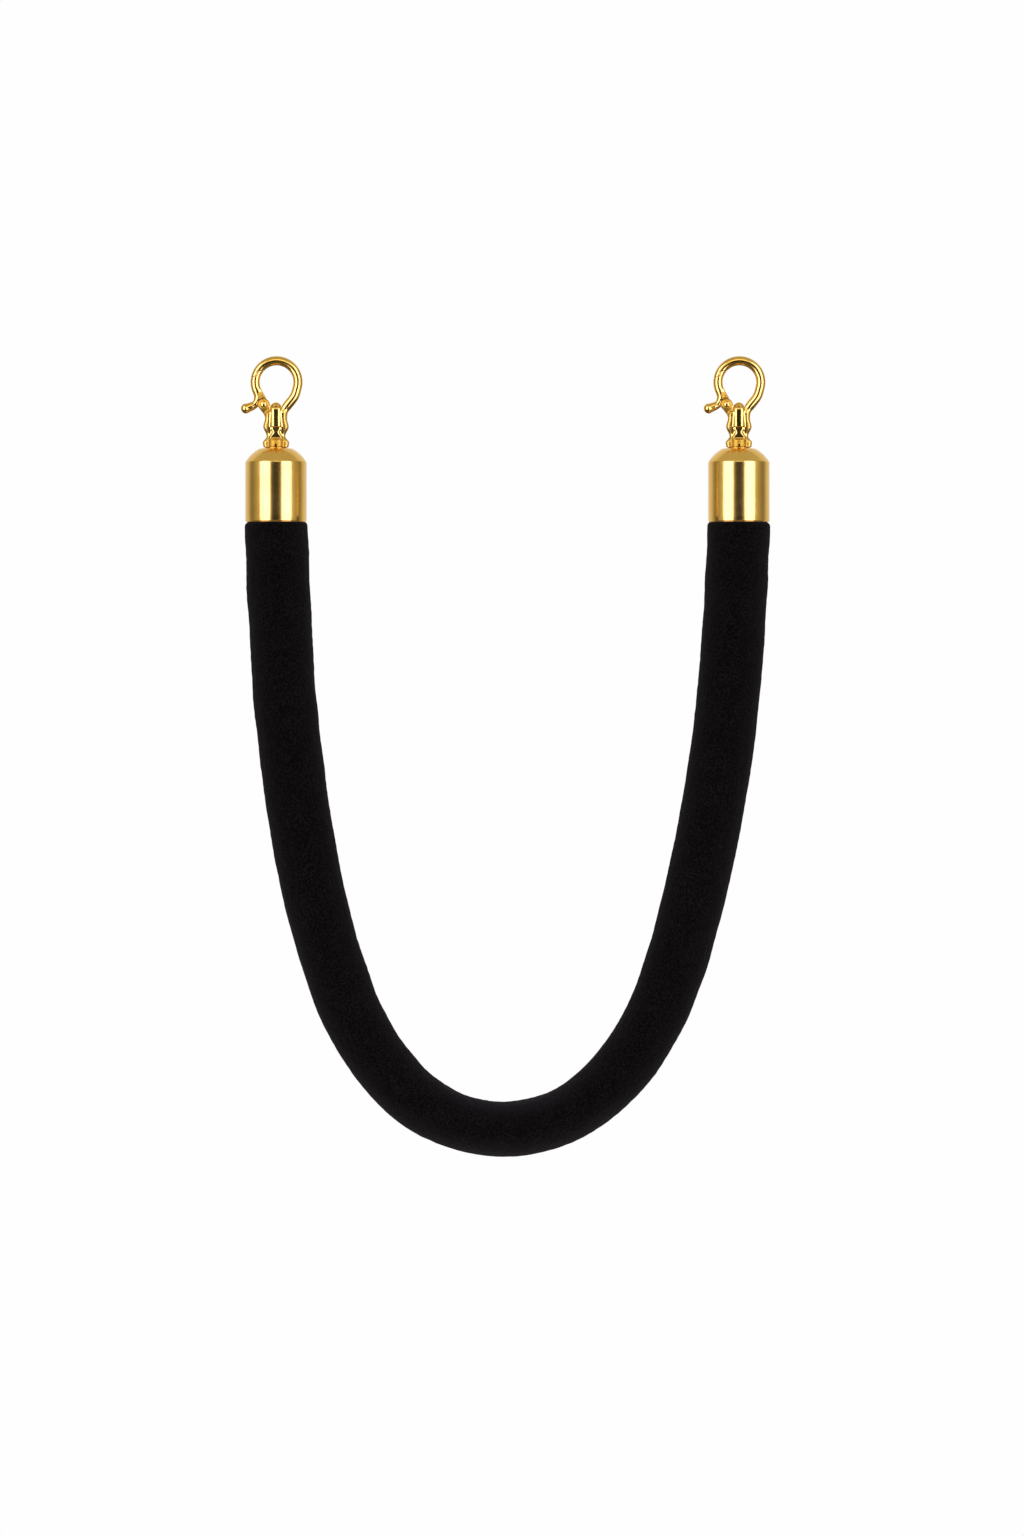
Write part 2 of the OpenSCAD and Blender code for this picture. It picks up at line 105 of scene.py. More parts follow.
# The turned parts
FERRULE_R = 21.5
FERRULE_WALL = 1.2
DOME_R = 24.7
WASHER_R = 7.5
WASHER_HOLE_R = 3.1
WASHER_T = 0.8
STUD_R = 3.0
STUD_BORE_R = 3.05
THREAD_R = 2.5
STUD_HEAD_R = 3.9
STUD_HEAD_H = 3.3
HEAD_SEAT_R = 4.35
RIVET_R = 1.2
RIVET_HEAD_R = 1.9
RIVET_HEAD_H = 0.5

# The hook's ring: its wire starts at the foot's bearing and ends at the nose's, in degrees from +X.
# Its leg runs down into the right-hand wing, as X, Z and radius.
RING_R = 15.0
RING_X = 0.4
RING_Z = -11.75
WIRE_R = 3.25
RING_FOOT = -18
NOSE = 185
LEG = [(13.25, -21.0, 3.3), (10.4, -25.2, 3.35), (7.4, -28.9, 3.3), (5.1, -32.5, 3.0), (4.3, -37.5, 2.8)]

# The column that the stud runs in, a little flat in front, and the waisted neck under it, as
# (height, half width) stations across and front to back
COLUMN_R = 5.3
COLUMN_FLAT = 5.12
NECK_STATIONS = [(-42, 4.4), (-44.2, 4.6), (-46.8, 4.0), (-51.4, 5.5), (-52.2, 6.0), (-57.4, 6.1)]
NECK_FLATS = [(-42, 3.75), (-50.8, 3.8), (-52.8, 6.1), (-57.4, 6.1)]

# The wings at the column's sides, as (height, half width) stations across and front to back
WING_TOP = -32.0
WING_STATIONS = [(-33, 7.7), (-36.5, 7.6), (-43, 8.9), (-49.6, 6.6), (-54.2, 9.25), (-57.4, 8.8)]
WING_DEPTHS = [(-33, 3.8), (-38, 3.5), (-43, 3.2), (-48.5, 2.3), (-54.4, 3.4), (-57.4, 3.4)]

# The gate's pivot between the ears, which taper down to their foot
PIN = np.array([-8.5, 0.0, -27.4])
EAR_R = 4.2
EAR_T = 7.6
EAR_ROOM = 0.35
EAR_FOOT = (-4.0, -36.2)
EAR_FOOT_R = 2.3
BOSS_R = 3.4
TONGUE_T = 3.7
SLOT_T = 4.0
SPRING_POCKET_R = 2.6
SPRING_POCKET_DEPTH = 1.7

# The gate: an arm on the ring's circle, a strand that leaves it, and the thumb tab's ball
ARM_TIP = 120
ARM_FOOT = 205
STRAND = [(-12.5, -20.9, 3.05), (-12.8, -24.2, 2.8), (-14.6, -27.3, 2.7), (-17.7, -28.9, 2.65)]
TAB_BALL = (-21.0, -30.1, 3.6)

# The lap between the gate's tip and the ring's nose, as distances from the pin and a bearing
LAP_FAR = 23.6
LAP_NEAR = 20.6
LAP_BEARING = 103.0
LAP_GAP = 0.15

# Where the casting keeps its rough skin, besides the faces of its ears; its colour there is darkened too,
# as painted shade
CAST_BAND_TOP = -52.4
CAST_BAND_R = 6.6
LOBE_TOP = -33.0
LOBE_X = 5.2

# The boxes that the hook and the gate are meshed in, and the spacing of the hook's mesh
HOOK_BOX = ((-20, -6, -58.5), (20, 6, 8))
GATE_BOX = ((-26, -4.5, -35), (-4, 4.5, 0))
FINE_CELL = 0.32


# ---------------------------------------------------------------- camera, light and floor

def make_camera():
    """A long lens straight in front of the loop"""
    film = 36.0
    lens = bpy.data.cameras.new("camera")
    lens.sensor_fit = "VERTICAL"
    lens.sensor_width = film
    lens.sensor_height = film
    lens.lens = film * CAMERA_DISTANCE / VIEW_HEIGHT
    camera = bpy.data.objects.new("camera", lens)
    bpy.context.scene.collection.objects.link(camera)
    camera.location = (CAMERA_X, -CAMERA_DISTANCE, CAMERA_Z)
    camera.rotation_euler = (math.pi / 2, 0, 0)
    bpy.context.scene.camera = camera


def softbox(name, azimuth, elevation, size, radiance, tint):
    """A rectangular lamp that faces the loop. Azimuth 0 is the camera's side, 90 is +X."""
    turn = math.radians(azimuth)
    tilt = math.radians(elevation)
    lamp = bpy.data.lights.new(name, "AREA")
    lamp.shape = "RECTANGLE"
    lamp.size, lamp.size_y = size
    lamp.energy = radiance * math.pi * size[0] * size[1]
    lamp.color = tint
    holder = bpy.data.objects.new(name, lamp)
    bpy.context.scene.collection.objects.link(holder)
    towards = np.array([math.sin(turn) * math.cos(tilt), -math.cos(turn) * math.cos(tilt), math.sin(tilt)])
    holder.location = LOOP_MIDDLE + LAMP_DISTANCE * towards
    holder.rotation_euler = (math.pi / 2 - tilt, 0, turn)
    holder.visible_camera = False


def make_lights():
    """A tall softbox at each side of the camera, and a smaller lamp above it"""
    softbox("left_softbox", azimuth=-41, elevation=8, size=(4.1, 7.5), radiance=2.9, tint=COOL)
    softbox("right_softbox", azimuth=41, elevation=8, size=(4.1, 7.5), radiance=2.9, tint=COOL)
    softbox("top_front_strip", azimuth=0, elevation=28, size=(2.6, 2.4), radiance=1.7, tint=NEUTRAL)


def make_world():
    """White to the camera; to the object a studio that is darkest behind the camera"""
    world = bpy.data.worlds.new("studio")
    bpy.context.scene.world = world
    world.use_nodes = True
    tree = world.node_tree
    add = tree.nodes.new
    link = tree.links.new

    def compute(operation, first, second=0):
        """A Math node's output for a socket and a number or second socket"""
        node = add("ShaderNodeMath")
        node.operation = operation
        link(first, node.inputs[0])
        if isinstance(second, (int, float)):
            node.inputs[1].default_value = second
        else:
            link(second, node.inputs[1])
        return node.outputs[0]

    def over(below, mask, level):
        """A plain grey laid over what is below it, where the mask is 1"""
        layer = add("ShaderNodeMix")
        layer.data_type = "RGBA"
        link(mask, layer.inputs["Factor"])
        link(below, layer.inputs["A"])
        layer.inputs["B"].default_value = (level, level, level, 1)
        return layer.outputs["Result"]

    direction = add("ShaderNodeTexCoord").outputs["Generated"]
    parts = add("ShaderNodeSeparateXYZ")
    link(direction, parts.inputs[0])
    height = parts.outputs["Z"]

    # The walls, by azimuth as a share of a half turn
    forward = compute("MULTIPLY", parts.outputs["Y"], -1)
    azimuth = compute("ARCTAN2", compute("ABSOLUTE", parts.outputs["X"]), forward)
    walls = add("ShaderNodeValToRGB")
    link(compute("DIVIDE", azimuth, math.pi), walls.inputs[0])
    grey_ramp(walls, WALL_LEVELS, 180)

    # A bright upper back wall, then the ceiling, which stops short of it, then a dark floor
    front = add("ShaderNodeVectorMath")
    front.operation = "DOT_PRODUCT"
    front.inputs[1].default_value = (0, -0.87, 0.49)
    link(direction, front.inputs[0])
    high = ranged(tree, height, 0.52, 0.60)
    overhead = compute("MULTIPLY", high, ranged(tree, front.outputs["Value"], -0.02, 0.02))
    sky = over(walls.outputs[0], high, UPPER_WALL_LEVEL)
    sky = over(sky, overhead, CEILING_LEVEL)
    sky = over(sky, ranged(tree, height, -0.20, -0.55), STUDIO_FLOOR_LEVEL)
    seen = over(sky, add("ShaderNodeLightPath").outputs["Is Camera Ray"], BACKDROP_LEVEL)
    link(seen, tree.nodes["Background"].inputs["Color"])


def grey_ramp(node, stops, whole):
    """Fills a colour ramp with (position, brightness) stops, positions out of whole"""
    band = node.color_ramp
    while len(band.elements) < len(stops):
        band.elements.new(0.5)
    for element, (place, level) in zip(band.elements, stops):
        element.position = place / whole
        element.color = (level, level, level, 1)


def ranged(tree, socket, low, high, to_low=0.0, to_high=1.0):
    """A socket's value carried smoothly from one range to another, and held at its ends"""
    node = tree.nodes.new("ShaderNodeMapRange")
    node.interpolation_type = "SMOOTHSTEP"
    node.inputs["From Min"].default_value = low
    node.inputs["From Max"].default_value = high
    node.inputs["To Min"].default_value = to_low
    node.inputs["To Max"].default_value = to_high
    tree.links.new(socket, node.inputs["Value"])
    return node.outputs["Result"]


def make_floor():
    """A pale round floor well under the loop"""
    sides = 96
    turns = [TURN * k / sides for k in range(sides)]
    rim = [(LOOP_MIDDLE[0] + FLOOR_R * math.cos(a), FLOOR_R * math.sin(a), FLOOR_LEVEL) for a in turns]
    mesh = bpy.data.meshes.new("floor")
    mesh.from_pydata(rim, [], [list(range(sides))])
    floor = bpy.data.objects.new("floor", mesh)
    bpy.context.scene.collection.objects.link(floor)
    floor.visible_glossy = False
    finish = Finish("pale_floor", {"Roughness": 0.9, "Specular IOR Level": 0.0})
    tone = finish.noise(6, detail=4)
    finish.colour(finish.blend(tone, (0.83, 0.80, 0.59), (0.87, 0.84, 0.62)))
    mesh.materials.append(finish.material)


# ---------------------------------------------------------------- finishes

class Finish:
    """A Principled material, and the patterns that the finishes are made of"""

    def __init__(self, name, values):
        self.material = bpy.data.materials.new(name)
        self.material.use_nodes = True
        self.tree = self.material.node_tree
        self.shader = self.tree.nodes["Principled BSDF"]
        self.place = self.tree.nodes.new("ShaderNodeTexCoord").outputs["Object"]
        for socket, value in values.items():
            self.shader.inputs[socket].default_value = value

    def stretched(self, scale):
        """Object coordinates multiplied axis by axis"""
        node = self.tree.nodes.new("ShaderNodeMapping")
        node.inputs["Scale"].default_value = scale
        self.tree.links.new(self.place, node.inputs["Vector"])
        return node.outputs["Vector"]

    def noise(self, scale, detail=2.0, roughness=0.5, at=None, distortion=0.0):
        node = self.tree.nodes.new("ShaderNodeTexNoise")
        node.inputs["Scale"].default_value = scale
        node.inputs["Detail"].default_value = detail
        node.inputs["Roughness"].default_value = roughness
        node.inputs["Distortion"].default_value = distortion
        self.tree.links.new(at or self.place, node.inputs["Vector"])
        return node.outputs["Fac"]

    def cells(self, scale):
        node = self.tree.nodes.new("ShaderNodeTexVoronoi")
        node.inputs["Scale"].default_value = scale
        self.tree.links.new(self.place, node.inputs["Vector"])
        return node.outputs["Distance"]

    def slanted_waves(self, scale, distortion):
        node = self.tree.nodes.new("ShaderNodeTexWave")
        node.bands_direction = "DIAGONAL"
        node.inputs["Scale"].default_value = scale
        node.inputs["Distortion"].default_value = distortion
        self.tree.links.new(self.place, node.inputs["Vector"])
        return node.outputs["Fac"]

    def blend(self, factor, low, high):
        """A colour between two, picked by a factor from 0 to 1"""
        node = self.tree.nodes.new("ShaderNodeMix")
        node.data_type = "RGBA"
        self.tree.links.new(factor, node.inputs["Factor"])
        node.inputs["A"].default_value = (*low, 1)
        node.inputs["B"].default_value = (*high, 1)
        return node.outputs["Result"]

    def blend_colours(self, factor, low, high):
        """A colour between two colour sockets, picked by a factor from 0 to 1"""
        node = self.tree.nodes.new("ShaderNodeMix")
        node.data_type = "RGBA"
        self.tree.links.new(factor, node.inputs["Factor"])
        self.tree.links.new(low, node.inputs["A"])
        self.tree.links.new(high, node.inputs["B"])
        return node.outputs["Result"]

    def times(self, first, second):
        """One value socket multiplied by another"""
        node = self.tree.nodes.new("ShaderNodeMath")
        node.operation = "MULTIPLY"
        self.tree.links.new(first, node.inputs[0])
        self.tree.links.new(second, node.inputs[1])
        return node.outputs[0]

    def blend_values(self, factor, low, high):
        """A value between a socket's and a fixed one, picked by a factor from 0 to 1"""
        node = self.tree.nodes.new("ShaderNodeMix")
        self.tree.links.new(factor, node.inputs["Factor"])
        self.tree.links.new(low, node.inputs["A"])
        node.inputs["B"].default_value = high
        return node.outputs["Result"]

    def marked(self, name):
        """A mesh's own point values, 0 where it has none"""
        node = self.tree.nodes.new("ShaderNodeAttribute")
        node.attribute_name = name
        return node.outputs["Fac"]

    def ranged(self, socket, low, high, to_low=0.0, to_high=1.0):
        return ranged(self.tree, socket, low, high, to_low, to_high)

    def connect(self, socket, name):
        self.tree.links.new(socket, self.shader.inputs[name])

    def colour(self, socket):
        self.connect(socket, "Base Color")

    def roughness(self, pattern, low, high):
        """Roughness from low to high, following a pattern"""
        self.connect(self.ranged(pattern, 0.3, 0.7, low, high), "Roughness")

    def relief(self, height, depth):
        """Adds a bump as deep as asked, in metres, over the ones already there"""
        node = self.tree.nodes.new("ShaderNodeBump")
        node.inputs["Strength"].default_value = 1.0
        node.inputs["Distance"].default_value = depth
        self.tree.links.new(height, node.inputs["Height"])
        normal = self.shader.inputs["Normal"]
        if normal.is_linked:
            self.tree.links.new(normal.links[0].from_socket, node.inputs["Normal"])
        self.tree.links.new(node.outputs["Normal"], normal)


def velvet_finish():
    """Short black pile: fine speckle, soft patches where it leans, and a pale bloom edge-on"""
    finish = Finish("black_velvet", {
        "Specular IOR Level": 0.0, "Sheen Weight": 0.046, "Sheen Roughness": 0.575,
        "Sheen Tint": (1.0, 0.84, 0.59, 1),
    })
    speckle = finish.noise(720, detail=4, roughness=0.75)
    patches = finish.noise(70, detail=3, roughness=0.55, distortion=0.6)
    lean = finish.ranged(patches, 0.3, 0.75, 0.62, 1.0)
    pile = finish.times(finish.ranged(speckle, 0.42, 0.64), lean)
    finish.colour(finish.blend(pile, (0.0001, 0.0001, 0.0), (0.0062, 0.0047, 0.0027)))
    finish.roughness(patches, 0.85, 1.0)
    finish.relief(finish.noise(160, detail=3), 0.0004)
    finish.relief(finish.noise(1500, detail=3, roughness=0.7), 0.00035)
    return finish.material


def satin_brass_finish():
    """Brass turned and brushed round its axis, with a soft wide highlight"""
    finish = Finish("satin_brass", {
        "Metallic": 1.0, "Coat Weight": 0.1, "Coat IOR": 1.5, "Coat Roughness": 0.16,
    })
    lines = finish.noise(1, detail=5, roughness=0.65, at=finish.stretched((60, 60, 5200)))
    patches = finish.noise(45, detail=3)
    finish.colour(finish.blend(finish.ranged(patches, 0.3, 0.7), (0.82, 0.48, 0.085), (0.87, 0.53, 0.105)))
    finish.roughness(finish.times(lines, finish.ranged(patches, 0.2, 0.8, 0.85, 1.1)), 0.16, 0.22)
    finish.relief(lines, 0.000012)
    return finish.material


def polished_brass_finish():
    """Polished casting with faint waves and scratches. Where the mesh is marked as cast, it
    keeps the rough grain of its mould, and its colour is darkened there as painted shade."""
    finish = Finish("polished_brass", {"Metallic": 1.0})
    cast = finish.marked("cast")
    patches = finish.noise(160, detail=4)
    grain = finish.noise(2600, detail=3, roughness=0.6)
    scratches = finish.noise(1, detail=3, roughness=0.7, at=finish.stretched((2600, 500, 500)))
    bright = finish.blend(finish.ranged(patches, 0.3, 0.7), (0.78, 0.46, 0.080), (0.84, 0.51, 0.095))
    # The cast parts' colour, about half as bright as the polished brass: painted shade on the web, ears,
    # base band and side lobes
    matt_and_shade = finish.blend(grain, (0.42, 0.21, 0.015), (0.64, 0.345, 0.032))
    finish.colour(finish.blend_colours(cast, bright, matt_and_shade))
    polish = finish.ranged(patches, 0.3, 0.7, 0.13, 0.19)
    finish.connect(finish.blend_values(cast, polish, 0.42), "Roughness")
    finish.relief(finish.noise(230, detail=2), 0.000012)
    finish.relief(scratches, 0.000002)
    finish.relief(finish.times(grain, cast), 0.00012)
    return finish.material


def bronze_finish():
    """Stamped bronze with a fine mottle"""
    finish = Finish("washer_bronze", {"Metallic": 1.0})
    mottle = finish.noise(900, detail=3)
    finish.colour(finish.blend(finish.ranged(mottle, 0.3, 0.7), (0.62, 0.29, 0.030), (0.74, 0.38, 0.050)))
    finish.roughness(mottle, 0.28, 0.42)
    finish.relief(mottle, 0.00001)
    return finish.material


def steel_finish(name, low, high, rough):
    """Plated or drawn steel with faint mottling"""
    finish = Finish(name, {"Metallic": 1.0})
    grain = finish.noise(900, detail=4, roughness=0.6)
    finish.colour(finish.blend(finish.ranged(grain, 0.3, 0.7), low, high))
    finish.roughness(grain, rough - 0.07, rough + 0.07)
    finish.relief(grain, 0.00001)
    return finish.material


def timber_finish():
    """Turned beech: grain along the axis, with short darker flecks"""
    finish = Finish("turned_timber", {"Specular IOR Level": 0.3})
    grain = finish.noise(1, detail=5, roughness=0.6, at=finish.stretched((420, 420, 40)), distortion=0.8)
    flecks = finish.noise(1, detail=2, at=finish.stretched((1500, 1500, 260)))
    finish.colour(finish.blend(finish.ranged(grain, 0.3, 0.7), (0.46, 0.27, 0.13), (0.68, 0.47, 0.26)))
    finish.roughness(flecks, 0.5, 0.7)
    finish.relief(grain, 0.00008)
    finish.relief(flecks, 0.00004)
    return finish.material


def foam_finish():
    """Open-cell foam in small round pores"""
    finish = Finish("foam", {"Specular IOR Level": 0.2})
    pores = finish.cells(900)
    patches = finish.noise(60, detail=3)
    mixed = finish.times(pores, finish.ranged(patches, 0.3, 0.7, 0.7, 1.2))
    finish.colour(finish.blend(mixed, (0.42, 0.34, 0.17), (0.80, 0.72, 0.50)))
    finish.roughness(patches, 0.85, 0.98)
    finish.relief(pores, 0.0003)
    return finish.material


def braid_finish():
    """Plaited cotton: slanted strands of fine fibres"""
    finish = Finish("cotton_braid", {"Specular IOR Level": 0.2, "Sheen Weight": 0.15})
    strands = finish.slanted_waves(150, distortion=1.5)
    fibres = finish.noise(2200, detail=3)
    mixed = finish.times(strands, finish.ranged(fibres, 0.3, 0.7, 0.8, 1.0))
    finish.colour(finish.blend(mixed, (0.50, 0.45, 0.36), (0.80, 0.76, 0.67)))
    finish.roughness(fibres, 0.8, 0.95)
    finish.relief(strands, 0.0004)
    finish.relief(fibres, 0.0001)
    return finish.material


# ---------------------------------------------------------------- mesh making

def add_piece(name, points, faces, material, body, slot, node, x=0.0):
    """Makes a smooth mesh from points in millimetres that stands for a CAD node"""
    mesh = bpy.data.meshes.new(name)
    placed = (np.asarray(points, float) + (x, 0, 0)) * MM
    mesh.from_pydata(placed.tolist(), [], [list(map(int, face)) for face in faces])
    mesh.shade_smooth()
    mesh.materials.append(material)
    piece = bpy.data.objects.new(name, mesh)
    bpy.context.scene.collection.objects.link(piece)
    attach(piece, body)
    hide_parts(node)
    return piece


def mark(piece, values):
    """Marks a piece's points for its finish: 1 is left as cast and darkened as painted shade, 0 is polished
    """
    layer = piece.data.attributes.new("cast", "FLOAT", "POINT")
    layer.data.foreach_set("value", values)


def even_shading(piece):
    """Keeps large faces flat beside small rounded edges"""
    piece.modifiers.new("even_shading", "WEIGHTED_NORMAL").keep_sharp = True


def rounded(corners, steps=4):
    """An outline through (across, up, rounding) corners, each rounded by a short curve"""
    points = []
    for i, (x, z, rounding) in enumerate(corners):
        here = np.array([x, z], float)
        if rounding == 0:
            points.append(here)
            continue
        before = np.array(corners[i - 1][:2], float) - here
        after = np.array(corners[(i + 1) % len(corners)][:2], float) - here
        start = here + before / np.linalg.norm(before) * rounding
        end = here + after / np.linalg.norm(after) * rounding
        for t in np.linspace(0, 1, steps + 1):
            points.append((1 - t) ** 2 * start + 2 * t * (1 - t) * here + t**2 * end)
    return points


def lathe(outline, sides, closed):
    """Turns an outline of (radius, height) about Z. Its ends are on the axis unless it is closed."""
    points = []
    rings = []
    angles = [TURN * k / sides for k in range(sides)]
    for r, z in outline:
        first = len(points)
        if r < 1e-6:
            points.append((0, 0, z))
            rings.append([first] * sides)
            continue
        points += [(r * math.cos(a), r * math.sin(a), z) for a in angles]
        rings.append([first + k for k in range(sides)])
    pairs = list(zip(rings, rings[1:]))
    if closed:
        pairs.append((rings[-1], rings[0]))
    faces = []
    for low, high in pairs:
        for k in range(sides):
            n = (k + 1) % sides
            corners = [low[k], low[n], high[n], high[k]]
            face = list(dict.fromkeys(corners))
            if len(face) > 2:
                faces.append(face)
    return np.array(points), faces


def facing_out(points, faces):
    """The same faces, turned over if they enclose a negative volume"""
    volume = 0.0
    for face in faces:
        a = points[face[0]]
        for second, third in zip(face[1:], face[2:]):
            volume += np.dot(a, np.cross(points[second], points[third]))
    return faces if volume > 0 else [face[::-1] for face in faces]


# ---------------------------------------------------------------- the velvet rope

def spline_through(knots, spacing):
    """Points about spacing apart on the natural cubic spline through the knots"""
    knots = np.array(knots, float)
    chord = np.linalg.norm(np.diff(knots, axis=0), axis=1)
    at = np.concatenate([[0], np.cumsum(chord)])
    slope = np.diff(knots, axis=0) / chord[:, None]
    matrix = np.eye(len(at))
    right = np.zeros_like(knots)
    for i in range(1, len(at) - 1):
        matrix[i, i - 1:i + 2] = chord[i - 1], 2 * (chord[i - 1] + chord[i]), chord[i]
        right[i] = 6 * (slope[i] - slope[i - 1])
    bend = np.linalg.solve(matrix, right)
    u = np.linspace(0, at[-1], round(at[-1] / spacing) + 1)
    i = np.clip(np.searchsorted(at, u, "right") - 1, 0, len(at) - 2)
    h = chord[i][:, None]
    a = (at[i + 1] - u)[:, None] / h
    b = 1 - a
    return a * knots[i] + b * knots[i + 1] + ((a**3 - a) * bend[i] + (b**3 - b) * bend[i + 1]) * h**2 / 6


def rope_centre():
    """The rope's centreline in millimetres, with its ends inside the ferrules, as X and Z. It is
    averaged along its length until the route's own knots don't show."""
    tucked = [NECK_TOP, -80.0, -90.0, -100.0]
    route = [(x / MM, z / MM) for x, z in ROUTE]
    right_x = route[-1][0]
    knots = [(0.0, z) for z in tucked] + route + [(right_x, z) for z in tucked[::-1]]
    fine = spline_through(knots, 0.5)
    for _ in range(160):
        fine[1:-1] = (fine[:-2] + 2 * fine[1:-1] + fine[2:]) / 4
    return fine


def ripples(along, around, girth, seed, longest, shortest, count=36):
    """Smooth random relief over the rope, about 1 high, as many slanted waves"""
    rng = np.random.default_rng(seed)
    total = np.zeros(np.broadcast(along, around).shape)
    for _ in range(count):
        wave = longest * (shortest / longest) ** rng.random()
        heading = rng.uniform(0, math.pi)
        turns = round(math.cos(heading) * girth / wave)
        total += np.sin(TURN * along * math.sin(heading) / wave + turns * around + rng.uniform(0, TURN))
    return total / math.sqrt(count / 2)


def rope_radius(z):
    """Radius by height: bound neck, tucked part in the ferrule, round lip, full rope"""
    lip_top = MOUTH_Z - 0.2
    t = np.clip((lip_top - z) / LIP_H, 0, 1)
    tucked = np.interp(-z, [-NECK_TOP, -BOUND_FOOT, -TUCKED_TOP], [BOUND_R, BOUND_R, TUCKED_R])
    return tucked + (ROPE_D / 2 - TUCKED_R) * np.sqrt(1 - (1 - t) ** 2)


def sleeve_relief(stations, around, z):
    """How far the sleeve's surface stands out: soft ripples, and its seam at the back"""
    along = stations[:, None]
    girth = math.pi * ROPE_D
    free = np.clip((MOUTH_Z - 2 - z) / 12, 0, 1)[:, None]
    broad = ripples(along, around, girth, seed=5, longest=90, shortest=30)
    fine = ripples(along, around, girth, seed=6, longest=14, shortest=5, count=48)
    from_seam = (np.remainder(around - math.pi / 2 + math.pi, TURN) - math.pi) * ROPE_D / 2
    ridges = 0.16 * np.exp(-((np.abs(from_seam) - 2.6) / 1.5) ** 2)
    groove = 0.75 * np.exp(-(from_seam / 0.9) ** 2)
    return free * (0.22 * broad + 0.07 * fine) + (ridges - groove) * np.minimum(1, free + 0.3)


def sleeve_rings(centre, run, stations, thinner, relief):
    """Rings of points round the centreline at the stations, which are distances along it"""
    def at(places):
        return np.column_stack([np.interp(places, run, centre[:, i]) for i in (0, 1)])

    spot = at(stations)
    heading = at(stations + 1) - at(stations - 1)
    heading /= np.linalg.norm(heading, axis=1)[:, None]
    side = np.column_stack([-heading[:, 1], heading[:, 0]])
    around = TURN * np.arange(ROPE_SIDES) / ROPE_SIDES
    z = spot[:, 1]
    bend = np.exp((LOW_Z - z) / BEND_REACH)
    radius = rope_radius(z) - thinner
    raised = sleeve_relief(stations, around, z) if relief else 0.0
    in_plane = (radius - BEND_FLATTEN * bend)[:, None] + raised
    across = (radius + BEND_SPREAD * bend)[:, None] + raised
    outward = in_plane * np.cos(around)
    x = spot[:, 0, None] + outward * side[:, 0, None]
    y = across * np.sin(around)
    height = spot[:, 1, None] + outward * side[:, 1, None]
    return np.stack([x, y, height], axis=2).reshape(-1, 3)


def tube_faces(first, rings, sides):
    """Quads over rings of points, the first of which has the given number"""
    a = first + np.arange((rings - 1) * sides).reshape(-1, sides)
    b = np.roll(a, -1, axis=1)
    return np.stack([a, b, b + sides, a + sides], axis=2).reshape(-1, 4)


def make_rope(material):
    """The padded velvet sleeve, hollow, with its seam at the back"""
    centre = rope_centre()
    run = np.concatenate([[0], np.cumsum(np.linalg.norm(np.diff(centre, axis=0), axis=1))])
    whole = run[-1]
    tuck = NECK_TOP - MOUTH_Z
    near_end = np.concatenate([np.arange(0, tuck - 1, 2.0), np.arange(tuck - 1, tuck + 5, 0.35)])
    middle = np.arange(tuck + 5, whole - tuck - 5, 2.0)
    stations = np.concatenate([near_end, middle, whole - near_end[::-1]])
    inner_stations = stations[::4] if len(stations) % 4 == 1 else np.append(stations[::4], stations[-1])
    outer = sleeve_rings(centre, run, stations, thinner=0.0, relief=True)
    inner = sleeve_rings(centre, run, inner_stations, thinner=SLEEVE_T, relief=False)
    points = np.concatenate([outer, inner])

    k = np.arange(ROPE_SIDES)
    n = np.roll(k, -1)
    far_out = len(outer) - ROPE_SIDES
    first_in = len(outer)
    far_in = len(points) - ROPE_SIDES
    faces = np.concatenate([
        tube_faces(0, len(stations), ROPE_SIDES),
        tube_faces(first_in, len(inner_stations), ROPE_SIDES)[:, ::-1],
        np.stack([k, first_in + k, first_in + n, n], axis=1),
        np.stack([far_out + k, far_out + n, far_in + n, far_in + k], axis=1),
    ])
    volume = np.einsum("ij,ij->", points[faces[:, 0]], np.cross(points[faces[:, 1]], points[faces[:, 2]]))
    if volume < 0:
        faces = faces[:, ::-1]
    rope = add_piece("velvet_rope", points, faces, material, "rope", "velvet", "velvet_sleeve")


# ---------------------------------------------------------------- shapes as distance fields

def smooth_union(a, b, reach):
    """Two distance fields as one shape, blended where they come within reach"""
    blend = np.maximum(reach - np.abs(a - b), 0) / reach
    return np.minimum(a, b) - blend**2 * reach / 4


def smooth_common(a, b, reach):
    """Only what two shapes share, with its edges rounded"""
    return -smooth_union(-a, -b, reach)


def smooth_cut(a, b, reach):
    """a with b taken away"""
    return -smooth_union(-a, b, reach)


def tapered_bar(points, a, b, r_a, r_b):
    """Distance to a bar between two points, with its own radius at each end"""
    a = np.array(a, float)
    along = np.array(b, float) - a
    t = np.clip((points - a) @ along / (along @ along), 0, 1)
    away = np.linalg.norm(points - a - t[:, None] * along, axis=1)
    return away - (r_a + (r_b - r_a) * t)


def flowing(bearings, stops):
    """(x, z, radius) stops of a smooth bar that leaves the ring after the given bearings"""
    on_ring = [(*ring_point(bearing), WIRE_R) for bearing in bearings]
    fine = spline_through(on_ring + stops, 1.1)
    start = np.argmin(np.linalg.norm(fine - on_ring[-1], axis=1))
    return [tuple(stop) for stop in fine[max(start - 1, 0):]]


def bent_bar(points, stops):
    """A bar through (x, z, radius) stops in the ring's plane"""
    field = np.full(len(points), np.inf)
    for (x0, z0, r0), (x1, z1, r1) in zip(stops, stops[1:]):
        field = np.minimum(field, tapered_bar(points, (x0, 0, z0), (x1, 0, z1), r0, r1))
    return field


def ring_point(bearing):
    """A point of the ring's centreline, at an angle in degrees from +X towards +Z"""
    turn = math.radians(bearing)
    return RING_X + RING_R * math.cos(turn), RING_Z + RING_R * math.sin(turn)


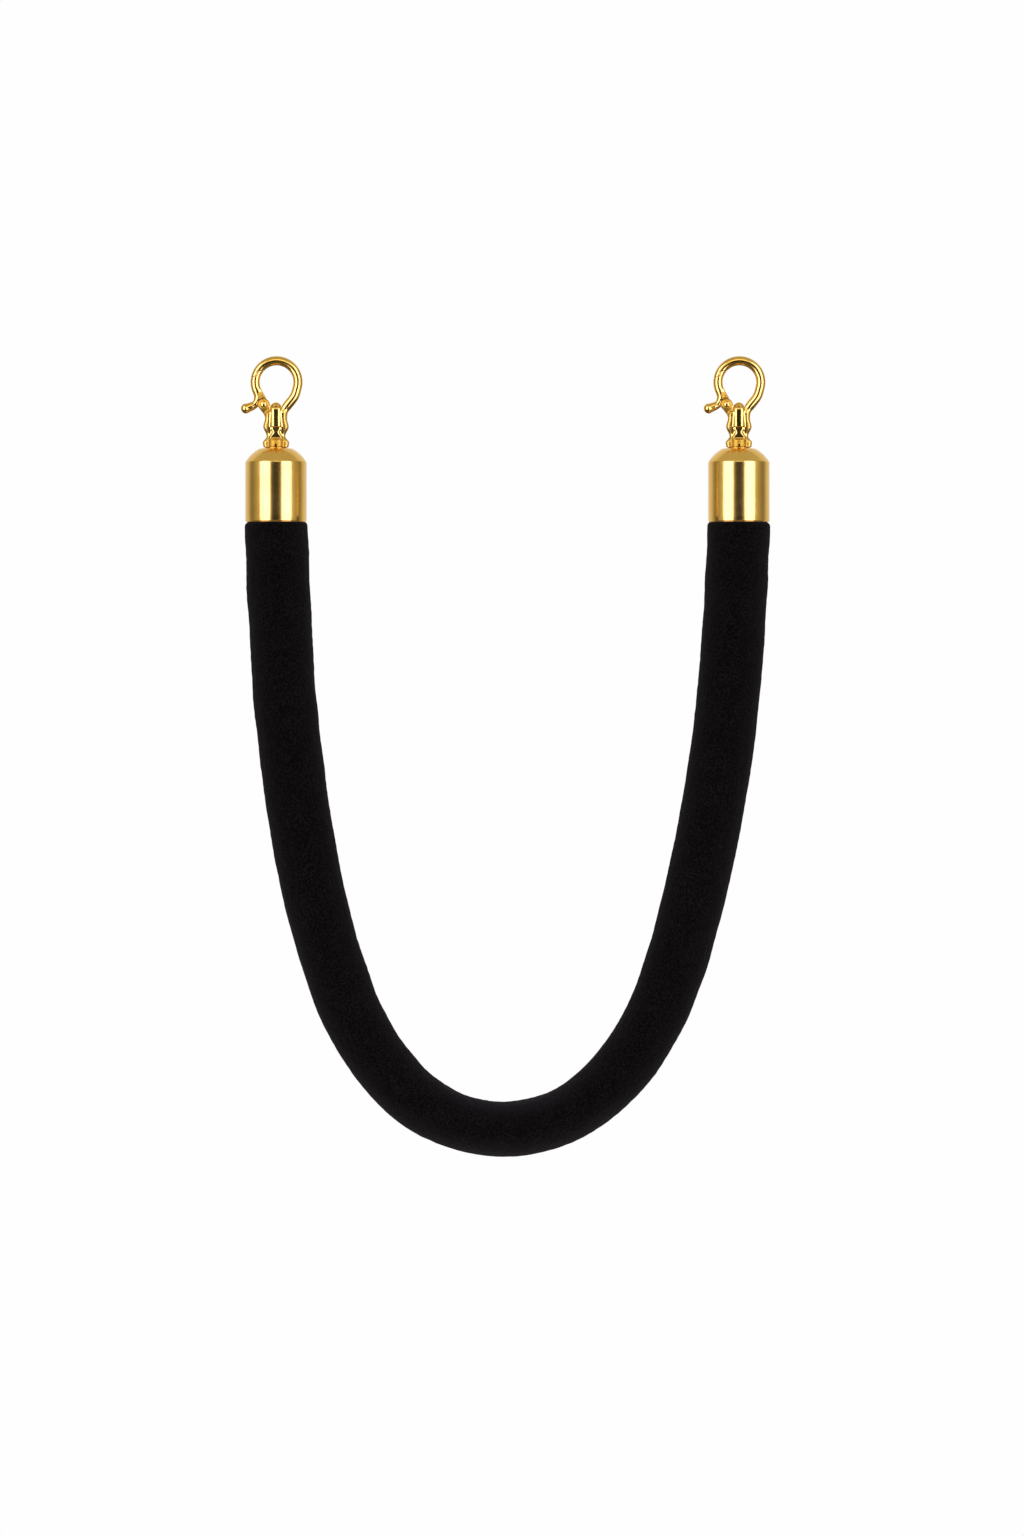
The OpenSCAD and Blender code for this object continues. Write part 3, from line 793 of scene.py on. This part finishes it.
def ring_bar(points, start, end):
    """The ring's wire between two bearings"""
    x, y, z = points.T
    bearing = np.degrees(np.arctan2(z - RING_Z, x - RING_X))
    off_middle = np.remainder(bearing - (start + end) / 2 + 180, 360) - 180
    wire = np.hypot(np.hypot(x - RING_X, z - RING_Z) - RING_R, y) - WIRE_R
    tips = np.full(len(points), np.inf)
    for tip_x, tip_z in (ring_point(start), ring_point(end)):
        tips = np.minimum(tips, np.linalg.norm(points - (tip_x, 0, tip_z), axis=1) - WIRE_R)
    return np.where(np.abs(off_middle) <= (end - start) / 2, wire, tips)


def eased(stations, z):
    """Half width at height z, eased between (height, half width) stations from the top down"""
    heights = np.array([s[0] for s in stations], float)
    widths = np.array([s[1] for s in stations], float)
    i = np.clip(np.searchsorted(-heights, -z, "right") - 1, 0, len(heights) - 2)
    t = np.clip((z - heights[i]) / (heights[i + 1] - heights[i]), 0, 1)
    return widths[i] + (widths[i + 1] - widths[i]) * (1 - np.cos(math.pi * t)) / 2


def from_pin(points):
    """Distance from the pin's axis"""
    return np.hypot(points[:, 0] - PIN[0], points[:, 2] - PIN[2])


def nose_side(points):
    """Negative on the ring's side of the lap, positive on the gate's, about the pin"""
    bearing = math.radians(LAP_BEARING)
    dx = points[:, 0] - PIN[0]
    dz = points[:, 2] - PIN[2]
    rho = np.hypot(dx, dz)
    past_bearing = dz * math.cos(bearing) - dx * math.sin(bearing)
    tooth = np.maximum(LAP_NEAR - rho, -past_bearing)
    return np.minimum(LAP_FAR - rho, tooth)


def flat_bar(points, a, b, r_a, r_b, thick, edge):
    """A flat plate across Y with the outline of a tapered bar and rounded edges"""
    flat = points * (1, 0, 1)
    outline = tapered_bar(flat, (a[0], 0, a[1]), (b[0], 0, b[1]), r_a, r_b)
    return smooth_common(outline, np.abs(points[:, 1]) - thick / 2, edge)


def hook_ring_field(points):
    """The ring from its foot to its lapped nose, with the leg that carries it"""
    ring = ring_bar(points, RING_FOOT, NOSE)
    lapped = smooth_common(ring, nose_side(points), 0.3)
    ring = np.where(points[:, 0] < 0, lapped, ring)
    return np.minimum(ring, bent_bar(points, flowing((10, -4, RING_FOOT), LEG)))


def hook_column_field(points):
    """The round column and the waisted neck under it"""
    x, y, z = points.T
    from_axis = np.hypot(x, y)
    column = smooth_common(from_axis - COLUMN_R, z - COLUMN_TOP, 2.2)
    column = smooth_common(column, COLUMN_FOOT - z, 0.7)
    column = smooth_common(column, np.abs(y) - COLUMN_FLAT, 0.5)
    neck = smooth_common(from_axis - eased(NECK_STATIONS, z), np.abs(y) - eased(NECK_FLATS, z), 0.3)
    neck = smooth_common(neck, z + 40, 0.5)
    return smooth_union(column, neck, 0.3)


def hook_wings_field(points):
    """The wings at the column's sides, and the two ears in one that the slot later parts"""
    x, y, z = points.T
    rho = from_pin(points)
    wings = smooth_common(np.abs(x) - eased(WING_STATIONS, z), np.abs(y) - eased(WING_DEPTHS, z), 3.0)
    wings = smooth_common(wings, z - WING_TOP, 2.0)
    ears = flat_bar(points, (PIN[0], PIN[2]), EAR_FOOT, EAR_R, EAR_FOOT_R, EAR_T, 0.6)
    crown = np.abs(y) - EAR_T / 2 + 0.055 * np.minimum(rho, 6) ** 2
    ears = smooth_common(ears, crown, 0.5)
    return smooth_union(wings, ears, 1.4)


def gate_slot_field(points):
    """The slot between the ears, with room above and at the left for the gate to turn"""
    dx = points[:, 0] - PIN[0]
    dz = points[:, 2] - PIN[2]
    above = np.maximum(np.abs(dx + 1.9) - 6.1, np.abs(dz - 4.5) - 4.5)
    left = np.maximum(np.abs(dx + 4.0) - 4.0, np.abs(dz + 1.7) - 1.9)
    outline = np.minimum(np.minimum(above, left), from_pin(points) - BOSS_R - 0.4)
    return np.maximum(outline, np.abs(points[:, 1]) - SLOT_T / 2)


def hook_casting_field(points):
    """Ring, leg, column, wings and ears, bored for the stud and slotted for the gate"""
    x, y, z = points.T
    from_axis = np.hypot(x, y)
    body = smooth_union(hook_wings_field(points), hook_ring_field(points), 1.6)
    body = smooth_union(body, hook_column_field(points), 0.7)
    body = smooth_common(body, HOOK_BASE - z, 0.5)
    body = smooth_cut(body, gate_slot_field(points), 0.3)
    head_seat = np.maximum(from_axis - HEAD_SEAT_R, np.abs(z - COLUMN_TOP - 3) - 3)
    body = smooth_cut(body, head_seat, 0.3)
    bore = np.maximum(from_axis - STUD_BORE_R, z - COLUMN_TOP - 3)
    body = np.maximum(body, -bore)
    return np.maximum(body, RIVET_R - from_pin(points))


def web_field(points):
    """The web between the arm and the ear, thicker than the tongue"""
    return flat_bar(points, (-12.0, -18.5), (-8.9, -24.5), 2.2, 2.6, 5.4, 1.2)


def gate_field(points):
    """Arm, tip and thumb tab, with the flat tongue that turns on the pin"""
    y = points[:, 1]
    rho = from_pin(points)
    arm = ring_bar(points, ARM_TIP, ARM_FOOT)
    arm = np.minimum(arm, bent_bar(points, flowing((177, 191, ARM_FOOT), STRAND)))
    ball = bent_bar(points, [STRAND[-1], TAB_BALL])
    gate = smooth_union(arm, ball, 1.5)
    gate = smooth_union(gate, web_field(points), 1.0)
    gate = smooth_common(gate, LAP_GAP - nose_side(points), 0.3)
    round_ears = rho - EAR_R - EAR_ROOM
    gate = smooth_cut(gate, round_ears, 0.3)

    to_arm = flat_bar(points, (PIN[0], PIN[2]), (-11.4, -21.6), BOSS_R, 2.6, TONGUE_T, 0.4)
    to_tab = flat_bar(points, (PIN[0], PIN[2]), (-12.8, -26.6), BOSS_R, 2.2, TONGUE_T, 0.4)
    tongue = np.maximum(np.minimum(to_arm, to_tab), round_ears - 0.4)
    gate = np.minimum(gate, tongue)
    gate = np.maximum(gate, RIVET_R + 0.05 - rho)
    pocket = np.maximum(rho - SPRING_POCKET_R, np.abs(y - TONGUE_T / 2) - SPRING_POCKET_DEPTH)
    return np.maximum(gate, -pocket)


def hook_marks(points):
    """1 on the cast band at the hook's base and the flat of the ears, less on the side lobes: there the
    finish is rough and darkened as painted shade
    """
    x, y, z = points.T
    from_axis = np.hypot(x, y)
    band = (z < CAST_BAND_TOP) & (from_axis < CAST_BAND_R)
    to_edge = tapered_bar(points * (1, 0, 1), (PIN[0], 0, PIN[2]), (-6.6, 0, -32.0), 3.9, 2.6)
    ear = (to_edge < 0) & (np.abs(y) > SLOT_T / 2) & (from_axis > 5.5)
    lobes = (np.abs(x) > LOBE_X) & (z < LOBE_TOP)
    return np.maximum((band | ear) * 1.0, lobes * 0.6)


def gate_marks(points):
    """1 on the web's two faces, away from the polished arm: there the finish is rough and darkened as
    painted shade
    """
    to_edge = tapered_bar(points * (1, 0, 1), (-10.6, 0, -20.4), (-8.6, 0, -25.0), 1.9, 2.8)
    return ((to_edge < 0) & (np.abs(points[:, 1]) > 1.5)).astype(float)


def field_mesh(field, low, high, cell):
    """A closed mesh of quads where the field is zero, one point to each cell that it crosses"""
    low = np.array(low, float)
    counts = np.ceil((np.array(high) - low) / cell).astype(int) + 1
    axes = [low[i] + cell * np.arange(counts[i]) for i in range(3)]
    grid = np.stack(np.meshgrid(*axes, indexing="ij"), axis=3).reshape(-1, 3)
    value = field(grid).reshape(counts)
    inside = value < 0
    cells = counts - 1

    total = np.zeros((*cells, 3))
    hits = np.zeros(cells)
    crossings = []
    for axis in range(3):
        near = [slice(None)] * 3
        far = [slice(None)] * 3
        near[axis] = slice(0, -1)
        far[axis] = slice(1, None)
        a = value[tuple(near)]
        b = value[tuple(far)]
        crossed = inside[tuple(near)] != inside[tuple(far)]
        share = np.where(crossed, a / np.where(crossed, a - b, 1), 0)
        crossings.append(crossed)
        others = [i for i in range(3) if i != axis]
        for u in (0, 1):
            for v in (0, 1):
                window = [slice(None)] * 3
                window[others[0]] = slice(u, u + cells[others[0]])
                window[others[1]] = slice(v, v + cells[others[1]])
                hit = crossed[tuple(window)]
                total[..., axis] += hit * share[tuple(window)]
                total[..., others[0]] += hit * u
                total[..., others[1]] += hit * v
                hits += hit
    used = hits > 0
    number = np.full(cells, -1)
    number[used] = np.arange(used.sum())
    index = np.argwhere(used)
    points = low + cell * (index + total[used] / hits[used][:, None])

    faces = []
    for axis in range(3):
        u, v = [(1, 2), (2, 0), (0, 1)][axis]
        at = np.argwhere(crossings[axis])
        at = at[(at[:, u] > 0) & (at[:, v] > 0) & (at[:, u] < cells[u]) & (at[:, v] < cells[v])]
        corners = []
        for du, dv in ((-1, -1), (0, -1), (0, 0), (-1, 0)):
            shifted = at.copy()
            shifted[:, u] += du
            shifted[:, v] += dv
            corners.append(number[tuple(shifted.T)])
        quad = np.stack(corners, axis=1)
        leaving = inside[tuple(at.T)]
        faces.append(np.where(leaving[:, None], quad, quad[:, ::-1]))
    return on_surface(points, field, cell), np.concatenate(faces)


def on_surface(points, field, cell, rounds=4):
    """The points moved along the field's slope until they lie where it is zero"""
    step = 0.02
    for _ in range(rounds):
        here = field(points)
        slope = np.stack([
            (field(points + step * unit) - field(points - step * unit)) / (2 * step)
            for unit in np.eye(3)
        ], axis=1)
        steep = np.maximum((slope**2).sum(axis=1), 0.05)
        move = np.clip(here / steep, -cell / 2, cell / 2)
        points = points - move[:, None] * slope
    return points


# ---------------------------------------------------------------- turned parts

def dome_points(radius, height, base, steps=8):
    """Outline of a low dome from its rim up to the axis"""
    ball = (radius**2 + height**2) / (2 * height)
    widest = math.asin(min(1.0, radius / ball))
    return [(ball * math.sin(a), base + height - ball + ball * math.cos(a))
            for a in np.linspace(widest, 0, steps)]


def ferrule_outline():
    """A thin cup, mouth down, with a rolled lip, a crisp shoulder and a domed top"""
    inner_r = FERRULE_R - FERRULE_WALL
    centre_z = SHOULDER_Z - math.sqrt(DOME_R**2 - FERRULE_R**2)
    seat_r = math.sqrt(DOME_R**2 - (SEAT_Z - centre_z) ** 2)
    under_z = SEAT_Z - 2.0

    def arc(ball, from_r, to_r, steps=24):
        angles = np.linspace(math.asin(from_r / ball), math.asin(to_r / ball), steps)
        return [(ball * math.sin(a), centre_z + ball * math.cos(a)) for a in angles]

    slope = math.asin(FERRULE_R / DOME_R)
    dome_foot = (FERRULE_R - 0.9 * math.cos(slope), SHOULDER_Z + 0.9 * math.sin(slope), 0)
    corner = (FERRULE_R, SHOULDER_Z, 0.4)
    shoulder = rounded([(FERRULE_R, SHOULDER_Z - 0.9, 0), corner, dome_foot])
    outer_dome = arc(DOME_R, FERRULE_R - 1.1, seat_r + 0.3)
    inner_ball = DOME_R - FERRULE_WALL
    inner_top_r = math.sqrt(inner_ball**2 - (under_z - centre_z) ** 2)
    inner_dome = arc(inner_ball, inner_top_r, inner_r)
    lip = rounded([(inner_r, MOUTH_Z + 0.5, 0), (inner_r, MOUTH_Z, 0.35), (FERRULE_R, MOUTH_Z, 0.75)], 6)
    side = [(FERRULE_R, z) for z in np.linspace(MOUTH_Z + 0.9, SHOULDER_Z - 1.2, 12)]
    seat = [(seat_r, SEAT_Z - 0.05), (seat_r - 0.4, SEAT_Z), (THREAD_R, SEAT_Z), (THREAD_R, under_z)]
    wall_side = [(inner_r, SHOULDER_Z - 1.0)]
    return lip + side + shoulder + outer_dome + seat + inner_dome + wall_side


def turned(outline, sides=96, closed=False):
    """An outline turned about Z, with its faces outwards"""
    points, faces = lathe(outline, sides, closed)
    return points, facing_out(points, faces)


def stud_shape():
    """The swivel stud: thread, shank and domed head"""
    head_z = COLUMN_TOP + 0.1
    shank = rounded([
        (0, STUD_FOOT, 0), (THREAD_R, STUD_FOOT, 0.5), (THREAD_R, SEAT_Z, 0), (STUD_R, SEAT_Z, 0.2),
        (STUD_R, head_z, 0), (STUD_HEAD_R, head_z, 0.3),
    ])
    return turned([*map(tuple, shank), *dome_points(STUD_HEAD_R, STUD_HEAD_H, head_z)[1:]])


def washer_shape():
    """A flat ring between the ferrule's seat and the hook's base"""
    top = SEAT_Z + WASHER_T
    outline = rounded([
        (WASHER_HOLE_R, SEAT_Z, 0.1), (WASHER_R, SEAT_Z, 0.25),
        (WASHER_R, top, 0.25), (WASHER_HOLE_R, top, 0.1),
    ])
    return turned(outline, closed=True)


def rivet_shape():
    """The gate's pin across the ears, with a low dome at each end"""
    half = EAR_T / 2
    head = dome_points(RIVET_HEAD_R, RIVET_HEAD_H, half)
    outline = [(r, -z) for r, z in head[::-1]] + [(RIVET_R, -half), (RIVET_R, half)] + head
    points, faces = turned(outline, sides=48)
    points = points[:, [0, 2, 1]] * (1, 1, -1) + PIN
    return points, facing_out(points, faces)


def make_shapes():
    """The shapes that both ends share"""
    cell = FINE_CELL
    return {
        "ferrule": turned(ferrule_outline(), sides=192, closed=True),
        "stud": stud_shape(),
        "washer": washer_shape(),
        "rivet": rivet_shape(),
        "hook": field_mesh(hook_casting_field, *HOOK_BOX, cell),
        "gate": field_mesh(gate_field, *GATE_BOX, cell * 0.9),
    }


def make_end(side, x, finishes, shapes):
    """Every shown metal part of one end"""
    rope = "rope"
    hook = f"{side}_hook"
    gate = f"{side}_gate"

    def place(name, shape, finish, body, slot, node):
        points, faces = shapes[shape]
        return add_piece(f"{side}_{name}", points, faces, finishes[finish], body, slot, f"{side}_{node}", x)

    even_shading(place("ferrule_cup", "ferrule", "satin", rope, "ferrule_brass", "ferrule"))
    even_shading(place("stud", "stud", "polished", rope, "hook_brass", "swivel_stud"))
    even_shading(place("washer", "washer", "bronze", rope, "washer_bronze", "swivel_washer"))
    casting = place("hook_casting", "hook", "polished", hook, "hook_brass", "hook_body")
    mark(casting, hook_marks(shapes["hook"][0]))
    arm = place("gate_arm", "gate", "polished", gate, "hook_brass", "gate_lever")
    mark(arm, gate_marks(shapes["gate"][0]))
    even_shading(place("gate_rivet", "rivet", "polished", hook, "hook_brass", "gate_pin"))


# ---------------------------------------------------------------- CAD nodes that stay

def dress(node, material):
    """Gives a carried-over CAD node a detailed material"""
    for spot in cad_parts[node].material_slots:
        spot.material = material


def dress_hidden_parts(finishes):
    dress("foam_core", finishes["foam"])
    dress("tension_cord", finishes["braid"])
    for side in END_SIDES:
        dress(f"{side}_end_plug", finishes["timber"])
        dress(f"{side}_ferrule_screws", finishes["satin"])
        for name in ("sleeve_binding", "cord_anchor", "stud_nut", "spring_washer"):
            dress(f"{side}_{name}", finishes["plated"])
        dress(f"{side}_gate_spring", finishes["spring"])


bpy.context.scene.view_settings.view_transform = "Standard"
make_camera()
finishes = {
    "velvet": velvet_finish(),
    "satin": satin_brass_finish(),
    "polished": polished_brass_finish(),
    "bronze": bronze_finish(),
    "plated": steel_finish("plated_steel", (0.55, 0.55, 0.56), (0.70, 0.70, 0.72), 0.35),
    "spring": steel_finish("spring_steel", (0.36, 0.36, 0.38), (0.50, 0.50, 0.53), 0.28),
    "timber": timber_finish(),
    "foam": foam_finish(),
    "braid": braid_finish(),
}
make_rope(finishes["velvet"])
shapes = make_shapes()
for side, x in END_SIDES.items():
    make_end(side, x, finishes, shapes)
dress_hidden_parts(finishes)
make_world()
make_lights()
make_floor()
